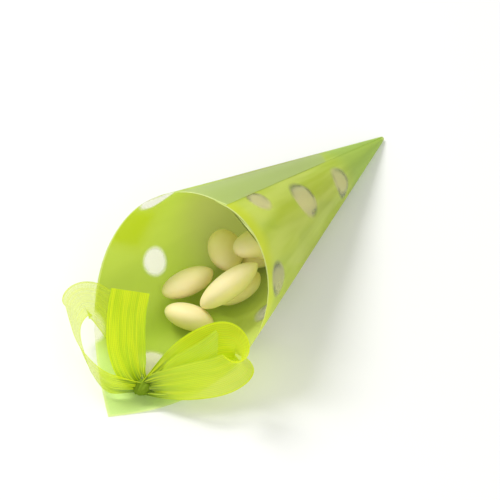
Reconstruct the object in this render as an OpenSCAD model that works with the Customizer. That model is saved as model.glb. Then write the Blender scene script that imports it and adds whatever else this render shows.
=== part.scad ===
// Cone bag: one square of tinted film rolled corner first into a cone, a corner left
// standing past the mouth, a ribbon bow tied through a hole near that corner, and
// sugared almonds inside. It lies on its side, along the sheet's diagonal.
// Millimetres, +Z up, on the plane z = 0. The tip points to +Y and the mouth to -Y.

/* [Film sheet] */
// Side of the square sheet
sheet_side = 130; // [120:1:140]
// Thickness of the film
film_thickness = 0.3; // [0.2:0.05:0.5]
// Half of the angle at the cone's tip
cone_half_angle = 11.75; // [11.5:0.05:12.5]
// Half of the sheet angle that lies flat on the table
flat_strip_angle = 1.2; // [0.8:0.1:2]
// Room between the two layers where the sheet overlaps itself
layer_gap = 0.15; // [0.1:0.05:0.3]
// Sheet angle from the diagonal to the straight edge of the outer layer
outer_edge_angle = 41; // [40.5:0.5:43]
// Distance from the tip at which the rolled film ends in a pinhole
tip_cut = 3; // [2:0.5:5]

/* [Ribbon] */
// Width of the ribbon
ribbon_width = 13.5; // [11:0.5:14]
// Thickness of the ribbon
ribbon_thickness = 0.4; // [0.3:0.05:0.6]
// Distance from the sheet's corner to the middle of the ribbon hole
hole_from_corner = 21; // [20:0.5:22]
// Diameter of the ribbon hole
hole_diameter = 5; // [4.5:0.1:6]
// Diameter of the tied knot
knot_diameter = 8; // [7:0.5:9]
// Depth of the gathers where the ribbon enters the knot
gather_depth = 1.2; // [0.6:0.1:1.6]

/* [Almonds] */
// Length of a middling almond
almond_length = 21.5; // [20:0.5:22.5]
// Width of an almond
almond_width = 13.5; // [12.5:0.25:14]
// Thickness of an almond
almond_thickness = 9.5; // [9:0.25:10]
// How much narrower the pointed end is
almond_taper = 0.15; // [0:0.05:0.5]
// Room between an almond and what it lies on
seat_gap = 0.2; // [0.1:0.05:0.4]

/* [Hidden] */

film_colour = "#b9cc4e";
ribbon_colour = "#c0dc18";
almond_colour = "#eae1a0";

// The tip lies this far from the origin, which is on the diagonal the cone rests on
tip_y = 100;
tip = [0, tip_y, film_thickness];
diagonal = sheet_side * sqrt(2);

// Sheet angles, measured from the diagonal about the tip corner
corner_angle = 45;
half_turn = 180 * sin(cone_half_angle);
closed_at = 2 * flat_strip_angle + half_turn;
overlap_from = 2 * closed_at - corner_angle;
half_columns = 30;
// The outer layer leaves the inner one over this much of the sheet
lift_ramp = 9;
layer_lift = film_thickness + layer_gap;

// Cone geometry
// A generator of the left or right half-cone, turned by round_angle about its axis
cone_axis = [0, -cos(cone_half_angle), sin(cone_half_angle)];
cone_down = [0, -sin(cone_half_angle), -cos(cone_half_angle)];
sideways = [1, 0, 0];

function about_z(v, angle) = [
    v.x * cos(angle) - v.y * sin(angle),
    v.x * sin(angle) + v.y * cos(angle),
    v.z
];
function spoke(round_angle) =
    cos(round_angle) * cone_down + sin(round_angle) * sideways;
function round_angle(phi) =
    (min(abs(phi), flat_strip_angle + half_turn) - flat_strip_angle) / sin(cone_half_angle);
function mirrored(v, phi) = [phi < 0 ? -v.x : v.x, v.y, v.z];

// Past the middle of the top, a half follows the other half's side of the cone
function wrapped(phi) = abs(phi) > closed_at ? phi - sign(phi) * 2 * closed_at : phi;

// Direction from the tip along the sheet at angle phi
function flat_part(phi) = [sin(abs(phi)), -cos(phi), 0];
function round_part(turned) = about_z(
    cos(cone_half_angle) * cone_axis + sin(cone_half_angle) * spoke(turned),
    flat_strip_angle
);
function top_part(past) =
    cos(past) * round_part(180) - sin(past) * [cos(flat_strip_angle), sin(flat_strip_angle), 0];
function side_generator(phi) = mirrored(
    abs(phi) <= flat_strip_angle ? flat_part(phi)
    : abs(phi) <= flat_strip_angle + half_turn ? round_part(round_angle(phi))
    : top_part(abs(phi) - flat_strip_angle - half_turn),
    phi
);

function generator(phi) = side_generator(wrapped(phi));

// Outward normal of the film at angle phi
function side_outward(phi) = mirrored(
    abs(phi) <= flat_strip_angle ? [0, 0, -1]
    : about_z(
        cos(cone_half_angle) * spoke(round_angle(phi)) - sin(cone_half_angle) * cone_axis,
        flat_strip_angle
    ),
    phi
);

function outward(phi) = side_outward(wrapped(phi));

// Distance from the tip corner to the square's far edges
function edge_at(phi) = sheet_side / cos(corner_angle - abs(phi));

function eased(x) = let (c = min(max(x, 0), 1)) c * c * (3 - 2 * c);

// The left half of the sheet ends outside the right half
function lift(phi) =
    phi >= 0 ? 0 : layer_lift * eased((-phi - overlap_from + lift_ramp) / lift_ramp);

function film_point(r, phi, out) = tip + r * generator(phi) + (lift(phi) + out) * outward(phi);

// Quads between ring rows a and b of n points, split in two, open ended
function strip_faces(a, b, n) = [
    for (i = [0:n - 2]) each [
        [a + i, a + i + 1, b + i + 1],
        [a + i, b + i + 1, b + i]
    ]
];
function reversed(faces) = [for (f = faces) [f[2], f[1], f[0]]];

module rolled_sheet() {
    n = 2 * half_columns + 1;
    angles = concat(
        [for (i = [half_columns:-1:1]) -outer_edge_angle * i / half_columns],
        [for (i = [0:half_columns]) corner_angle * i / half_columns]
    );
    points = concat(
        [for (phi = angles) film_point(tip_cut, phi, 0)],
        [for (phi = angles) film_point(edge_at(phi), phi, 0)],
        [for (phi = angles) film_point(tip_cut, phi, film_thickness)],
        [for (phi = angles) film_point(edge_at(phi), phi, film_thickness)]
    );
    inner = 0;
    inner_rim = n;
    outer = 2 * n;
    outer_rim = 3 * n;
    polyhedron(points, concat(
        strip_faces(inner, inner_rim, n),
        reversed(strip_faces(outer, outer_rim, n)),
        reversed(strip_faces(inner, outer, n)),
        strip_faces(inner_rim, outer_rim, n),
        [
            [inner, inner_rim, outer_rim],
            [inner, outer_rim, outer],
            [inner + n - 1, outer_rim + n - 1, inner_rim + n - 1],
            [inner + n - 1, outer + n - 1, outer_rim + n - 1]
        ]
    ));
}

hole_y = tip_y - diagonal + hole_from_corner;

module film_cone() {
    color(film_colour) difference() {
        rolled_sheet();
        translate([0, hole_y, -film_thickness])
            cylinder(d = hole_diameter, h = 4 * film_thickness, $fn = 32);
    }
}

// Ribbon
// Each run's points are [x, y, z], with a width direction and a share of the width.
// They are measured from the middle of the knot.
knot_height = 4.5;
knot_offset = 4;
knot = [knot_offset, hole_y - 6, knot_height];
gathered = 0.35;
run_steps = 5;
panels = 4;

right_loop = [
    [[0, 0, 0], [0, 0.2, 1], gathered],
    [[8, 0.5, 5], [-0.2, 0.3, 1], 0.75],
    [[18, 5, 9], [-0.35, 0.5, 0.8], 0.95],
    [[26, 10.5, 12], [-0.3, 0.4, 0.85], 1],
    [[30, 15, 16.5], [-0.1, 0.2, 1], 1],
    [[26.5, 18, 21], [-0.1, 0.2, 1], 1],
    [[19, 18, 18], [-0.3, 0.45, 0.9], 1],
    [[11, 13, 11.5], [-0.35, 0.5, 0.8], 0.95],
    [[5, 6, 4.5], [-0.2, 0.4, 1], 0.7],
    [[0, 0, 0], [0, 0.2, 1], gathered]
];
left_loop = [
    [[0, 0, 0], [0, 0, 1], gathered],
    [[-9, -7, 2.5], [-0.2, -0.1, 1], 0.75],
    [[-19.5, -5.5, 5.5], [-0.2, -0.2, 1], 1],
    [[-28.5, 1, 7.5], [-0.3, -0.1, 0.9], 1],
    [[-35, 8, 9.5], [-0.4, 0, 0.9], 1],
    [[-34.5, 12.5, 12.5], [-0.3, 0.3, 0.9], 1],
    [[-28.5, 14.5, 12.5], [-0.2, 0.4, 0.9], 1],
    [[-20, 12, 7.5], [-0.2, 0.4, 0.9], 1],
    [[-10, 6, 2.5], [0, 0.3, 1], 0.7],
    [[0, 0, 0], [0, 0, 1], gathered]
];
left_tail = [
    [[0, 0, 0], [0.6, 0.4, 0.2], gathered],
    [[-5.5, 1, 4], [0.75, 0.5, 0.1], 0.8],
    [[-12, 7, 9], [0.8, 0.55, 0.05], 1],
    [[-17, 14.5, 14], [0.82, 0.57, 0], 1],
    [[-20, 21, 18.5], [0.82, 0.57, 0], 1]
];
right_tail = [
    [[0, 0, 0], [-0.3, 0.5, 0.3], gathered],
    [[6, 2.5, 3.5], [-0.4, 0.6, 0.4], 0.7],
    [[12, 7.5, 7.5], [-0.4, 0.5, 0.7], 1],
    [[18, 13.5, 12.5], [-0.4, 0.4, 0.8], 1],
    [[22, 19, 17], [-0.3, 0.4, 0.8], 1]
];

function unit(v) = v / norm(v);
function spline(a, b, c, d, t) =
    0.5 * (2 * b + (c - a) * t + (2 * a - 5 * b + 4 * c - d) * t * t
        + (3 * b - a - 3 * c + d) * t * t * t);
function held(list, i) = list[min(max(i, 0), len(list) - 1)];
function along(list, s) = let (i = min(floor(s), len(list) - 2))
    spline(held(list, i - 1), held(list, i), held(list, i + 1), held(list, i + 2), s - i);

// One cross-section of a run: gathers fade as the ribbon opens to its full width
function section(run, s) = let (
    places = [for (p = run) p[0]],
    ups = [for (p = run) p[1]],
    shares = [for (p = run) p[2]],
    step = 0.02,
    last = len(run) - 1,
    travel = unit(along(places, min(s + step, last)) - along(places, max(s - step, 0))),
    up = along(ups, s),
    width_way = unit(up - (up * travel) * travel),
    face_way = cross(travel, width_way),
    share = min(along(shares, s), 1),
    pleat = gather_depth * max(1 - share, 0),
    middle = knot + along(places, s)
) [
    for (side = [0:1], i = [0:panels])
        let (
            j = side == 0 ? i : panels - i,
            across = (j / panels - 0.5) * ribbon_width * share,
            fold = (j % 2 == 0 ? 1 : -1) * pleat,
            face = (side - 0.5) * ribbon_thickness
        )
        middle + across * width_way + (fold + face) * face_way
];

module ribbon_run(run) {
    stations = (len(run) - 1) * run_steps;
    ring = 2 * (panels + 1);
    points = [for (k = [0:stations]) each section(run, k / run_steps)];
    end = stations * ring;
    walls = [
        for (k = [0:stations - 1], i = [0:ring - 1])
            let (a = k * ring + i, b = k * ring + (i + 1) % ring)
            each [[a, a + ring, b + ring], [a, b + ring, b]]
    ];
    caps = [
        for (i = [0:panels - 1])
            let (a = i, b = i + 1, c = ring - 2 - i, d = ring - 1 - i)
            each [[a, b, c], [a, c, d], [end + a, end + c, end + b], [end + a, end + d, end + c]]
    ];
    polyhedron(points, concat(walls, caps));
}

// The knot is a wrap of gathered pleats round a core
wrap_pleats = 4;
wrap_steps = 10;
pleat_radius = knot_diameter / 7;

module wrap_pleat(x) {
    bulge = knot_diameter / 2 - pleat_radius - abs(x) / 5;
    for (i = [0:wrap_steps - 1])
        hull()
            for (turn = [i, i + 1] * 360 / wrap_steps)
                translate([x, bulge * cos(turn), bulge * sin(turn) * 0.85])
                    sphere(r = pleat_radius, $fn = 8);
}

module tied_knot() {
    spacing = 1.5 * pleat_radius;
    translate(knot) {
        scale([1, 1, 0.85])
            sphere(d = knot_diameter * 0.85, $fn = 24);
        for (i = [0:wrap_pleats - 1])
            wrap_pleat((i - (wrap_pleats - 1) / 2) * spacing);
    }
}

// Ribbon drawn down through the hole, from the knot to the film's underside
neck_clearance = 0.25;
neck_diameter = hole_diameter - 2 * neck_clearance;

module neck() {
    base = film_thickness + seat_gap;
    hull() {
        translate(knot + [-knot_offset / 2, 0, 0])
            sphere(d = neck_diameter, $fn = 24);
        translate([0, hole_y, base + 0.5])
            cylinder(d = neck_diameter, h = 1, $fn = 24);
    }
    translate([0, hole_y, 0])
        cylinder(d = neck_diameter, h = base + 1, $fn = 24);
}

module ribbon_bow() {
    color(ribbon_colour) union() {
        ribbon_run(right_loop);
        ribbon_run(left_loop);
        ribbon_run(left_tail);
        ribbon_run(right_tail);
        tied_knot();
        neck();
    }
}

// Almonds
// Each is dropped straight down where its row says and stays on the first thing it meets.
// Rows: distance from the tip in almond lengths, place across in almond widths,
// yaw, pitch and roll in degrees, and the share of the middling length.
ALMONDS = [
    [2, 0, 0, -10, 0, 1],
    [3.02, 0, 5, -8, 5, 1],
    [4.05, 0, -5, -5, 0, 1],
    [5.07, 0.26, -10, 0, -20, 1],
    [5.58, -0.78, -20, 0, -35, 1],
    [6.16, -0.11, -79, 0, -45, 0.87],
    [5.63, 0.56, -34, 33, -50, 1.18],
    [3.21, 0.22, -10, -15, -25, 1],
    [4.65, -0.59, 35, -4, 20, 1],
    [4.19, 0.59, -5, -10, -30, 1],
    [3.91, -0.22, 10, -12, 0, 0.95],
    [4.79, 0.52, -10, -10, -20, 0.95]
];

function yaw_matrix(a) = [[cos(a), -sin(a), 0], [sin(a), cos(a), 0], [0, 0, 1]];
function pitch_matrix(a) = [[1, 0, 0], [0, cos(a), -sin(a)], [0, sin(a), cos(a)]];
function roll_matrix(a) = [[cos(a), 0, sin(a)], [0, 1, 0], [-sin(a), 0, cos(a)]];
function transposed(m) = [for (i = [0:2]) [for (j = [0:2]) m[j][i]]];
function turned(row) = yaw_matrix(row[2]) * pitch_matrix(row[3]) * roll_matrix(row[4]);
function half_sizes(row) = [almond_width, almond_length * row[5], almond_thickness] / 2;

// The reach of an almond's ellipsoid along a direction is sqrt(n * form * n)
function form(row) = let (
    m = turned(row),
    h = half_sizes(row),
    squares = [[h.x * h.x, 0, 0], [0, h.y * h.y, 0], [0, 0, h.z * h.z]]
) m * squares * transposed(m);
function reach(f, n) = sqrt(n * f * n);

// Lowest height at which the form stands clear of the film around it
wall_angles = [for (i = [0:30]) flat_strip_angle + half_turn * i / 30];
wall_normals = [for (phi = wall_angles, side = [-1, 1]) -outward(side * phi)];
steep = 0.02;
function on_wall(f, place) = tip.z + max([
    for (n = wall_normals)
        if (n.z > steep)
            (reach(f, n) + seat_gap - n.x * place.x - n.y * (place.y - tip_y)) / n.z
]);

// Height of one form above another when they just touch, found by halving steps
function rise(f, g, apart, p, q) = let (n = [p, q, 1])
    reach(f, n) + reach(g, n) + seat_gap * norm(n) - p * apart.x - q * apart.y;
no_contact = -50;
function touching(f, g, apart, p = 0, q = 0, step = 1) =
    step < 0.001 ? rise(f, g, apart, p, q)
    : let (
        ways = [[p + step, q], [p - step, q], [p, q + step], [p, q - step]],
        rises = [for (w = ways) rise(f, g, apart, w[0], w[1])],
        best = min(rises),
        way = ways[search(best, rises)[0]]
    )
    best < no_contact ? no_contact
    : best < rise(f, g, apart, p, q) ? touching(f, g, apart, way[0], way[1], step)
    : touching(f, g, apart, p, q, step / 2);

function place_of(row) = [row[1] * almond_width, tip_y - row[0] * almond_length];
function dropped(row, below) = let (f = form(row), place = place_of(row))
    max(concat(
        [on_wall(f, place)],
        [for (b = below) b[0].z + touching(f, b[1], place - [b[0].x, b[0].y])]
    ));
function pile(i = 0, done = []) =
    i == len(ALMONDS) ? done
    : let (row = ALMONDS[i], place = place_of(row))
    pile(i + 1, concat(done, [[[place.x, place.y, dropped(row, done)], form(row)]]));
PILE = pile();

almond_rings = 12;
almond_sides = 16;

// An almond lies inside its ellipsoid and is drawn in towards its pointed end, at +Y
function almond_ring(h, turn) = let (
    t = -cos(turn),
    width = pow(sin(turn), 1 + almond_taper * max(t, 0) * 2)
) [
    for (i = [0:almond_sides - 1])
        let (a = 360 * i / almond_sides)
        [h.x * width * cos(a), h.y * t, h.z * width * sin(a)]
];

module almond_body(h) {
    rings = almond_rings - 1;
    points = concat(
        [[0, -h.y, 0], [0, h.y, 0]],
        [for (k = [1:rings]) each almond_ring(h, 180 * k / almond_rings)]
    );
    first = 2;
    last = 2 + (rings - 1) * almond_sides;
    faces = concat(
        [for (i = [0:almond_sides - 1]) [0, first + (i + 1) % almond_sides, first + i]],
        [for (i = [0:almond_sides - 1]) [1, last + i, last + (i + 1) % almond_sides]],
        [
            for (k = [0:rings - 2], i = [0:almond_sides - 1])
                let (
                    a = first + k * almond_sides + i,
                    b = first + k * almond_sides + (i + 1) % almond_sides
                )
                each [
                    [a, b, b + almond_sides],
                    [a, b + almond_sides, a + almond_sides]
                ]
        ]
    );
    polyhedron(points, faces);
}

module sugared_almond(i) {
    row = ALMONDS[i];
    color(almond_colour)
        translate(PILE[i][0])
            multmatrix(turned(row))
                almond_body(half_sizes(row));
}

film_cone();
ribbon_bow();
sugared_almond(0);  // sugared_almond_01
sugared_almond(1);  // sugared_almond_02
sugared_almond(2);  // sugared_almond_03
sugared_almond(3);  // sugared_almond_04
sugared_almond(4);  // sugared_almond_05
sugared_almond(5);  // sugared_almond_06
sugared_almond(6);  // sugared_almond_07
sugared_almond(7);  // sugared_almond_08
sugared_almond(8);  // sugared_almond_09
sugared_almond(9);  // sugared_almond_10
sugared_almond(10);  // sugared_almond_11
sugared_almond(11);  // sugared_almond_12
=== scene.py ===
"""Cone bag of frosted lime film with clear polka dots, an organza bow and sugared almonds."""

import math
from functools import partial, reduce

import bmesh
import bpy
import numpy as np
from mathutils import Matrix, Quaternion, Vector, geometry


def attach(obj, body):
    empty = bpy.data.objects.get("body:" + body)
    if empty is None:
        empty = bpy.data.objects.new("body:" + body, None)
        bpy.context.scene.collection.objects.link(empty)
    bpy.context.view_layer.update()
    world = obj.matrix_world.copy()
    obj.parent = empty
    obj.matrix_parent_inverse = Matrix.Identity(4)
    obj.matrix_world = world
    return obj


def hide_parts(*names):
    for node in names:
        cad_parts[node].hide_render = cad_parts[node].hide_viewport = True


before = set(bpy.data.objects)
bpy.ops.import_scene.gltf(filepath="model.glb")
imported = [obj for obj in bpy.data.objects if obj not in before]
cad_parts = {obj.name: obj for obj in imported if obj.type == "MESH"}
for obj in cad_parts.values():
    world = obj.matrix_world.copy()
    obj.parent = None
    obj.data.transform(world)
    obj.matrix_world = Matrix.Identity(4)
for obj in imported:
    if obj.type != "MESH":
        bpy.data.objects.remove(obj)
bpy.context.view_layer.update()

bl_info = {
    "name": "Cone Bag",
    "version": (1, 0, 0),
    "blender": (4, 5, 0),
    "location": "View3D > Sidebar > Cone Bag",
    "description": "Builds a rolled film cone bag with its ribbon bow and sugared almonds",
    "category": "Add Mesh",
}

ALMOND_NODES = sorted(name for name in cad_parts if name.startswith("sugared_almond"))
MM = 0.001
SHARP_ANGLE = math.radians(40)
# Blender's names for the nodes that are used most
MATHS = "ShaderNodeMath"
VECTORS = "ShaderNodeVectorMath"
VECTOR_OF = "ShaderNodeCombineXYZ"
NOISE = "ShaderNodeTexNoise"
PRINCIPLED = "ShaderNodeBsdfPrincipled"
SHADER_MIX = "ShaderNodeMixShader"
WHITE = "#ffffff"


# Small helpers

def linear(hex_colour):
    """An sRGB hex colour as linear RGBA."""
    parts = [int(hex_colour[i : i + 2], 16) / 255 for i in (1, 3, 5)]
    return [c / 12.92 if c <= 0.04045 else ((c + 0.055) / 1.055) ** 2.4 for c in parts] + [1.0]


def add_node(tree, kind, *inputs, give=0, **settings):
    """Adds a node with its settings and links, and gives one of its outputs, or all for None.

    An input is a value or another node's output. It goes to the next socket or, in a pair,
    to the socket that the pair names.
    """
    node = tree.nodes.new(kind)
    for name, value in settings.items():
        setattr(node, name, value)
    for place, item in enumerate(inputs):
        key, value = item if isinstance(item, tuple) else (place, item)
        socket = node.inputs[key]
        if isinstance(value, bpy.types.NodeSocket):
            tree.links.new(value, socket)
        else:
            socket.default_value = value
    return node.outputs if give is None else node.outputs[give]


def soft_share(tree, *steps):
    """A share from 0 to 1: the product of soft steps, each a measure and where it starts and ends."""
    shares = [
        add_node(tree, "ShaderNodeMapRange", *step, interpolation_type="SMOOTHSTEP") for step in steps]
    return reduce(lambda a, b: add_node(tree, MATHS, a, b, operation="MULTIPLY"), shares)


def layered(tree, colour, *layers):
    """A colour with others laid over it. A layer is its share and its colour, hex or an output."""
    for share, over in layers:
        low, high = (linear(c) if isinstance(c, str) else c for c in (colour, over))
        colour = add_node(
            tree, "ShaderNodeMix", ("Factor", share), ("A", low), ("B", high),
            give="Result", data_type="RGBA")
    return colour


def new_material(name):
    """An empty node material and its tree."""
    material = bpy.data.materials.new(name)
    material.use_nodes = True
    material.node_tree.nodes.clear()
    return material, material.node_tree


def new_shape_tree(name, numbers, takes_mesh):
    """An empty Geometry Nodes tree with named inputs, and the sockets that they come from."""
    tree = bpy.data.node_groups.new(name, "GeometryNodeTree")
    sockets = [(number, "NodeSocketFloat") for number in numbers]
    sockets.append(("Material", "NodeSocketMaterial"))
    if takes_mesh:
        sockets.insert(0, ("Geometry", "NodeSocketGeometry"))
    for socket, kind in sockets:
        tree.interface.new_socket(socket, in_out="INPUT", socket_type=kind)
    tree.interface.new_socket("Geometry", in_out="OUTPUT", socket_type="NodeSocketGeometry")
    return tree, add_node(tree, "NodeGroupInput", give=None)


def finish_shape_tree(tree, shape, material):
    """Ends a tree with Realize Instances and Set Material."""
    real = add_node(tree, "GeometryNodeRealizeInstances", shape)
    finished = add_node(tree, "GeometryNodeSetMaterial", ("Geometry", real), ("Material", material))
    add_node(tree, "NodeGroupOutput", finished, give=None)


def new_object(name, mesh):
    """An object at the origin, smooth shaded."""
    thing = bpy.data.objects.new(name, mesh)
    bpy.context.scene.collection.objects.link(thing)
    mesh.polygons.foreach_set("use_smooth", [True] * len(mesh.polygons))
    return thing


def mesh_from(bm, name):
    """A mesh with what the bmesh holds."""
    mesh = bpy.data.meshes.new(name)
    bm.to_mesh(mesh)
    bm.free()
    return mesh


def as_plain_mesh(thing):
    """Replaces the object's mesh with its evaluated result and drops its modifiers."""
    evaluated = thing.evaluated_get(bpy.context.evaluated_depsgraph_get())
    result = bpy.data.meshes.new_from_object(evaluated)
    result.name = thing.name
    result.set_sharp_from_angle(angle=SHARP_ANGLE)
    thing.modifiers.clear()
    thing.data = result


def set_inputs(modifier, **values):
    """Sets a Geometry Nodes modifier's inputs, each through its socket's identifier."""
    for item in modifier.node_group.interface.items_tree:
        name = item.name.lower().replace(" ", "_")
        if item.item_type == "SOCKET" and item.in_out == "INPUT" and name in values:
            modifier[item.identifier] = values.pop(name)
    if values:
        raise ValueError(f"the tree has no input named {sorted(values)}")


def eased(x):
    """0 to 1 with a soft start and end."""
    x = min(max(x, 0.0), 1.0)
    return x * x * (3 - 2 * x)


# Properties

# A setting is a plain number, a length, an angle or a place
Number = bpy.props.FloatProperty
Length = partial(bpy.props.FloatProperty, unit="LENGTH")
Angle = partial(bpy.props.FloatProperty, subtype="ANGLE")
Place = partial(bpy.props.FloatVectorProperty, subtype="TRANSLATION", unit="LENGTH")


class FilmSettings(bpy.types.PropertyGroup):
    sheet_side: Length(name="Sheet side", description="Side of the square sheet", default=0.130)
    thickness: Length(name="Thickness", description="Thickness of the film as drawn", default=0.0001)
    half_angle: Angle(
        name="Half angle", description="Half of the angle at the cone's tip", default=math.radians(11.75))
    strip_angle: Angle(
        name="Flat strip", description="Half of the sheet angle that lies flat", default=math.radians(1.2))
    outer_edge: Angle(
        name="Outer edge", description="Sheet angle from the diagonal to the outer layer's straight edge",
        default=math.radians(41))
    layer_gap: Length(
        name="Layer gap", description="Room between the layers of the overlap", default=0.00005)
    tip_cut: Length(
        name="Tip cut", description="Distance from the tip at which the film ends", default=0.003)
    tip_y: Length(name="Tip", description="Distance of the tip from the origin", default=0.100)
    hole_from_corner: Length(
        name="Hole place", description="Distance from the sheet's corner to the ribbon hole",
        default=0.021)
    hole_diameter: Length(name="Hole", description="Diameter of the ribbon hole", default=0.005)
    ripple: Length(name="Ripple", description="Height of the film's soft ripples", default=0.0004)


class RibbonSettings(bpy.types.PropertyGroup):
    width: Length(name="Width", description="Width of the ribbon", default=0.0135)
    length: Length(
        name="Length", description="Length of the ribbon before it was tied", default=0.30)
    thickness: Length(
        name="Thickness", description="Thickness of the ribbon as drawn", default=0.00015)
    knot_diameter: Length(name="Knot", description="Diameter of the tied knot", default=0.007)


class AlmondSettings(bpy.types.PropertyGroup):
    taper: Number(
        name="Taper", description="How much narrower the pointed end is", default=0.15, min=0, max=0.5)
    lump_height: Length(
        name="Lumps", description="Height of the coating's uneven places", default=0.0003)


class StageSettings(bpy.types.PropertyGroup):
    camera_place: Place(
        name="Camera", description="Where the camera stands", default=(0.3835, -0.6093, 0.6663))
    camera_aim: Place(
        name="Aim", description="The point that the camera looks at", default=(0.0, 0.004, 0.012))
    camera_roll: Angle(
        name="Roll", description="How far the camera is turned about its line of sight",
        default=math.radians(2))
    lens: Number(name="Lens", description="Focal length in millimetres", default=195)
    key_power: Number(name="Key light", description="Power of the key light", default=8.7)
    fill_power: Number(name="Fill light", description="Power of the fill light", default=2.5)
    world_strength: Number(
        name="Sky", description="Strength of the even light from all sides", default=0.52)


# Film

CORNER_ANGLE = math.radians(45)
HALF_ROOT = math.sqrt(0.5)
# Sheet angle over which the outer layer rises onto the inner one
LIFT_RAMP = math.radians(9)
MESH_STEP = 1.4 * MM
FEWEST_COLUMNS = 24
TIP_STEPS, HOLE_STEPS, DOT_STEPS = 8, 40, 36
# Room between the mesh's free points and the sheet's edges, and between them and a dot or the hole
EDGE_ROOM = 0.6 * MM
RING_ROOM = 0.5 * MM
# A dot closer to an edge or to the hole than this has no edges of its own in the mesh
DOT_ROOM = 0.4 * MM
SAME_POINT = 1e-7
# The hole has straight edges, so faces just outside it reach a little way into its circle
INSIDE_POLYGON = 0.98

# The clear dots: places in millimetres from the tip corner along the sheet's two sides, and diameters
DOTS = [
    (51.5, 17, 13), (84, 22, 15), (111, 19, 11), (119.5, 49.5, 13), (66, 47, 13), (97, 64, 15),
    (28, 32, 11), (107, 111, 13), (65, 105.5, 11), (39, 124, 15), (92, 132, 13),
]


def flat_point(r, phi):
    """A point of the flat sheet. Its diagonal runs along -Y from the tip corner."""
    return Vector((r * math.sin(phi), -r * math.cos(phi)))


def on_sheet(point):
    """A flat point measured along the sheet's two sides."""
    x, y = point
    return (x - y) * HALF_ROOT, (-x - y) * HALF_ROOT


def hole_y(film):
    """Where the middle of the ribbon hole lies along the cone."""
    return film.tip_y - film.sheet_side * math.sqrt(2) + film.hole_from_corner


def ring_of_points(centre, radius, count):
    return [
        centre + radius * Vector((math.cos(math.tau * i / count), math.sin(math.tau * i / count)))
        for i in range(count)
    ]


def sheet_outline(film):
    """The sheet's edge, cut round at the tip, from the right corner round to the left one."""
    side, cut, left, right = film.sheet_side, film.tip_cut, -film.outer_edge, CORNER_ANGLE
    left_reach = side / math.cos(CORNER_ANGLE + left)
    outline = [flat_point(cut, left + (right - left) * i / TIP_STEPS) for i in range(TIP_STEPS + 1)]

    def straight_edge(phi, reach):
        steps = int((reach - cut) / MESH_STEP)
        return [flat_point(cut + (reach - cut) * i / steps, phi) for i in range(1, steps)]

    outline += straight_edge(right, side)
    steps = int(side / MESH_STEP)
    corners = [flat_point(side, right), flat_point(side * math.sqrt(2), 0), flat_point(left_reach, left)]
    for start, end in zip(corners, corners[1:]):
        outline += [start.lerp(end, i / steps) for i in range(steps)]
    return outline + [corners[-1]] + straight_edge(left, left_reach)[::-1]


def flat_sheet_mesh(film):
    """The flat sheet, with its ribbon hole and with edges along each printed dot."""
    side, cut, left = film.sheet_side, film.tip_cut, -film.outer_edge
    hole, hole_radius = Vector((0, film.hole_from_corner - side * math.sqrt(2))), film.hole_diameter / 2
    dots = [
        (Vector(((x - y) * HALF_ROOT, -(x + y) * HALF_ROOT)) * MM, size / 2 * MM)
        for x, y, size in DOTS
    ]

    def inside(p, margin):
        u, v = on_sheet(p)
        from_left_edge = p.x * math.cos(left) + p.y * math.sin(left)
        return margin < v < side - margin and u < side - margin and from_left_edge > margin

    rings = [sheet_outline(film), ring_of_points(hole, hole_radius, HOLE_STEPS)]
    for centre, radius in dots:
        ring = ring_of_points(centre, radius, DOT_STEPS)
        if all(inside(p, DOT_ROOM) and (p - hole).length > hole_radius + DOT_ROOM for p in ring):
            rings.append(ring)
    points, edges = [], []
    for ring in rings:
        numbers = range(len(points), len(points) + len(ring))
        edges += list(zip(numbers, [*numbers[1:], numbers[0]]))
        points += ring

    r = cut + MESH_STEP
    while r < side * math.sqrt(2):
        columns = max(FEWEST_COLUMNS, int(r * CORNER_ANGLE * 2 / MESH_STEP))
        for i in range(columns + 1):
            p = flat_point(r, CORNER_ANGLE * (2 * i / columns - 1))
            clear_of_hole = (p - hole).length > hole_radius + RING_ROOM
            clear_of_dots = all(abs((p - centre).length - radius) > RING_ROOM for centre, radius in dots)
            if inside(p, EDGE_ROOM) and clear_of_hole and clear_of_dots:
                points.append(p)
        r += MESH_STEP

    verts, _, faces, *_ = geometry.delaunay_2d_cdt(points, edges, [], 0, SAME_POINT)
    kept = []
    for face in faces:
        middle = sum((verts[i] for i in face), Vector((0, 0))) / len(face)
        in_hole = (middle - hole).length <= hole_radius * INSIDE_POLYGON
        if inside(middle, 0) and middle.length > cut and not in_hole:
            kept.append(face)

    mesh = bpy.data.meshes.new("film_cone")
    mesh.from_pydata([(v.x, v.y, 0) for v in verts], [], kept)
    uv = mesh.uv_layers.new(name="sheet")
    for loop in mesh.loops:
        u, v = on_sheet(verts[loop.vertex_index])
        uv.data[loop.index].uv = (u / side, v / side)
    distance = mesh.attributes.new("from_dot", "FLOAT", "POINT")
    distance.data.foreach_set(
        "value", [min((v - centre).length - radius for centre, radius in dots) / MM for v in verts])
    bm = bmesh.new()
    bm.from_mesh(mesh)
    bmesh.ops.delete(bm, geom=[v for v in bm.verts if not v.link_faces], context="VERTS")
    for face in bm.faces:
        if face.normal.z > 0:
            face.normal_flip()
    bm.to_mesh(mesh)
    bm.free()
    return mesh


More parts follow.
